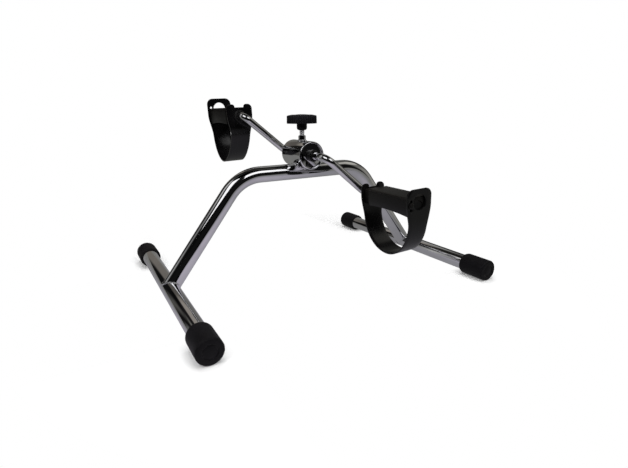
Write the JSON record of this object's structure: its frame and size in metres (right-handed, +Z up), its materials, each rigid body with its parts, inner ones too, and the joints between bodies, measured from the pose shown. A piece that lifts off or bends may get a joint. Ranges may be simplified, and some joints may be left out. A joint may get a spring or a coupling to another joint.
{
  "type": "pedal exerciser",
  "caption": "Floor pedal exerciser: bent chromed tube frame on rubber caps, cranked axle in a friction hub with a tension knob, pedals with adjustable foot straps.",
  "frame": {"origin": "on the floor, at the bottom centre of the bounding box, under the middle of the arch", "axes": "+X along the arch to the right base tube, +Y along the crank axle to the far pedal, +Z up"},
  "size_m": [0.4944, 0.406, 0.2938],
  "materials": {
    "chrome": "bright chrome plate",
    "zinc_steel": "bright zinc plate",
    "foot_rubber": "matt black rubber",
    "pedal_plastic": "black moulded, fine grain",
    "strap_plastic": "black flexible, satin",
    "knob_plastic": "black moulded, ribbed",
    "bush_nylon": "black nylon",
    "pad_nylon": "natural nylon"
  },
  "bodies": {
    "frame": {"arch_tube": "chrome", "base_tube_left": "chrome", "base_tube_right": "chrome", "foot_cap_left_near": "foot_rubber", "foot_cap_left_far": "foot_rubber", "foot_cap_right_near": "foot_rubber", "foot_cap_right_far": "foot_rubber", "hub_shell": "chrome", "hub_disc_near": "chrome", "hub_disc_far": "chrome", "axle_bush_near": "bush_nylon", "axle_bush_far": "bush_nylon", "tension_boss": "chrome"},
    "crank": {"crank_rod": "chrome", "axle_collar_near": "zinc_steel", "axle_collar_far": "zinc_steel", "near_push_nut": "zinc_steel", "far_push_nut": "zinc_steel"},
    "near_pedal": {"near_pedal_body": "pedal_plastic", "near_strap": "strap_plastic", "near_inner_bush": "bush_nylon", "near_outer_bush": "bush_nylon", "near_end_plug": "pedal_plastic"},
    "far_pedal": {"far_pedal_body": "pedal_plastic", "far_strap": "strap_plastic", "far_inner_bush": "bush_nylon", "far_outer_bush": "bush_nylon", "far_end_plug": "pedal_plastic"},
    "tension_pad": {"brake_pad": "pad_nylon"},
    "tension_knob": {"knob": "knob_plastic", "tension_screw": "zinc_steel"}
  },
  "joints": [
    {"name": "crank_spin", "type": "hinge", "parent": "frame", "child": "crank", "pos_m": [0, 0, 0.20219], "axis": [0, 1, 0], "continuous": true},
    {"name": "near_pedal_spin", "type": "hinge", "parent": "crank", "child": "near_pedal", "pos_m": [0.07591, -0.0915, 0.14181], "axis": [0, 1, 0], "continuous": true},
    {"name": "far_pedal_spin", "type": "hinge", "parent": "crank", "child": "far_pedal", "pos_m": [-0.07591, 0.0755, 0.26258], "axis": [0, 1, 0], "continuous": true},
    {"name": "tension_slide", "type": "slide", "parent": "frame", "child": "tension_pad", "axis": [0, 0, 1], "range_m": [0, 0.0026]},
    {"name": "knob_turn", "type": "hinge", "parent": "tension_pad", "child": "tension_knob", "pos_m": [0, 0, 0.20219], "axis": [0, 0, 1], "range_deg": [0, 720]}
  ],
  "couplings": [
    {"joint": "tension_slide", "follows": "knob_turn", "m_per_rad": 0.00019894}
  ]
}
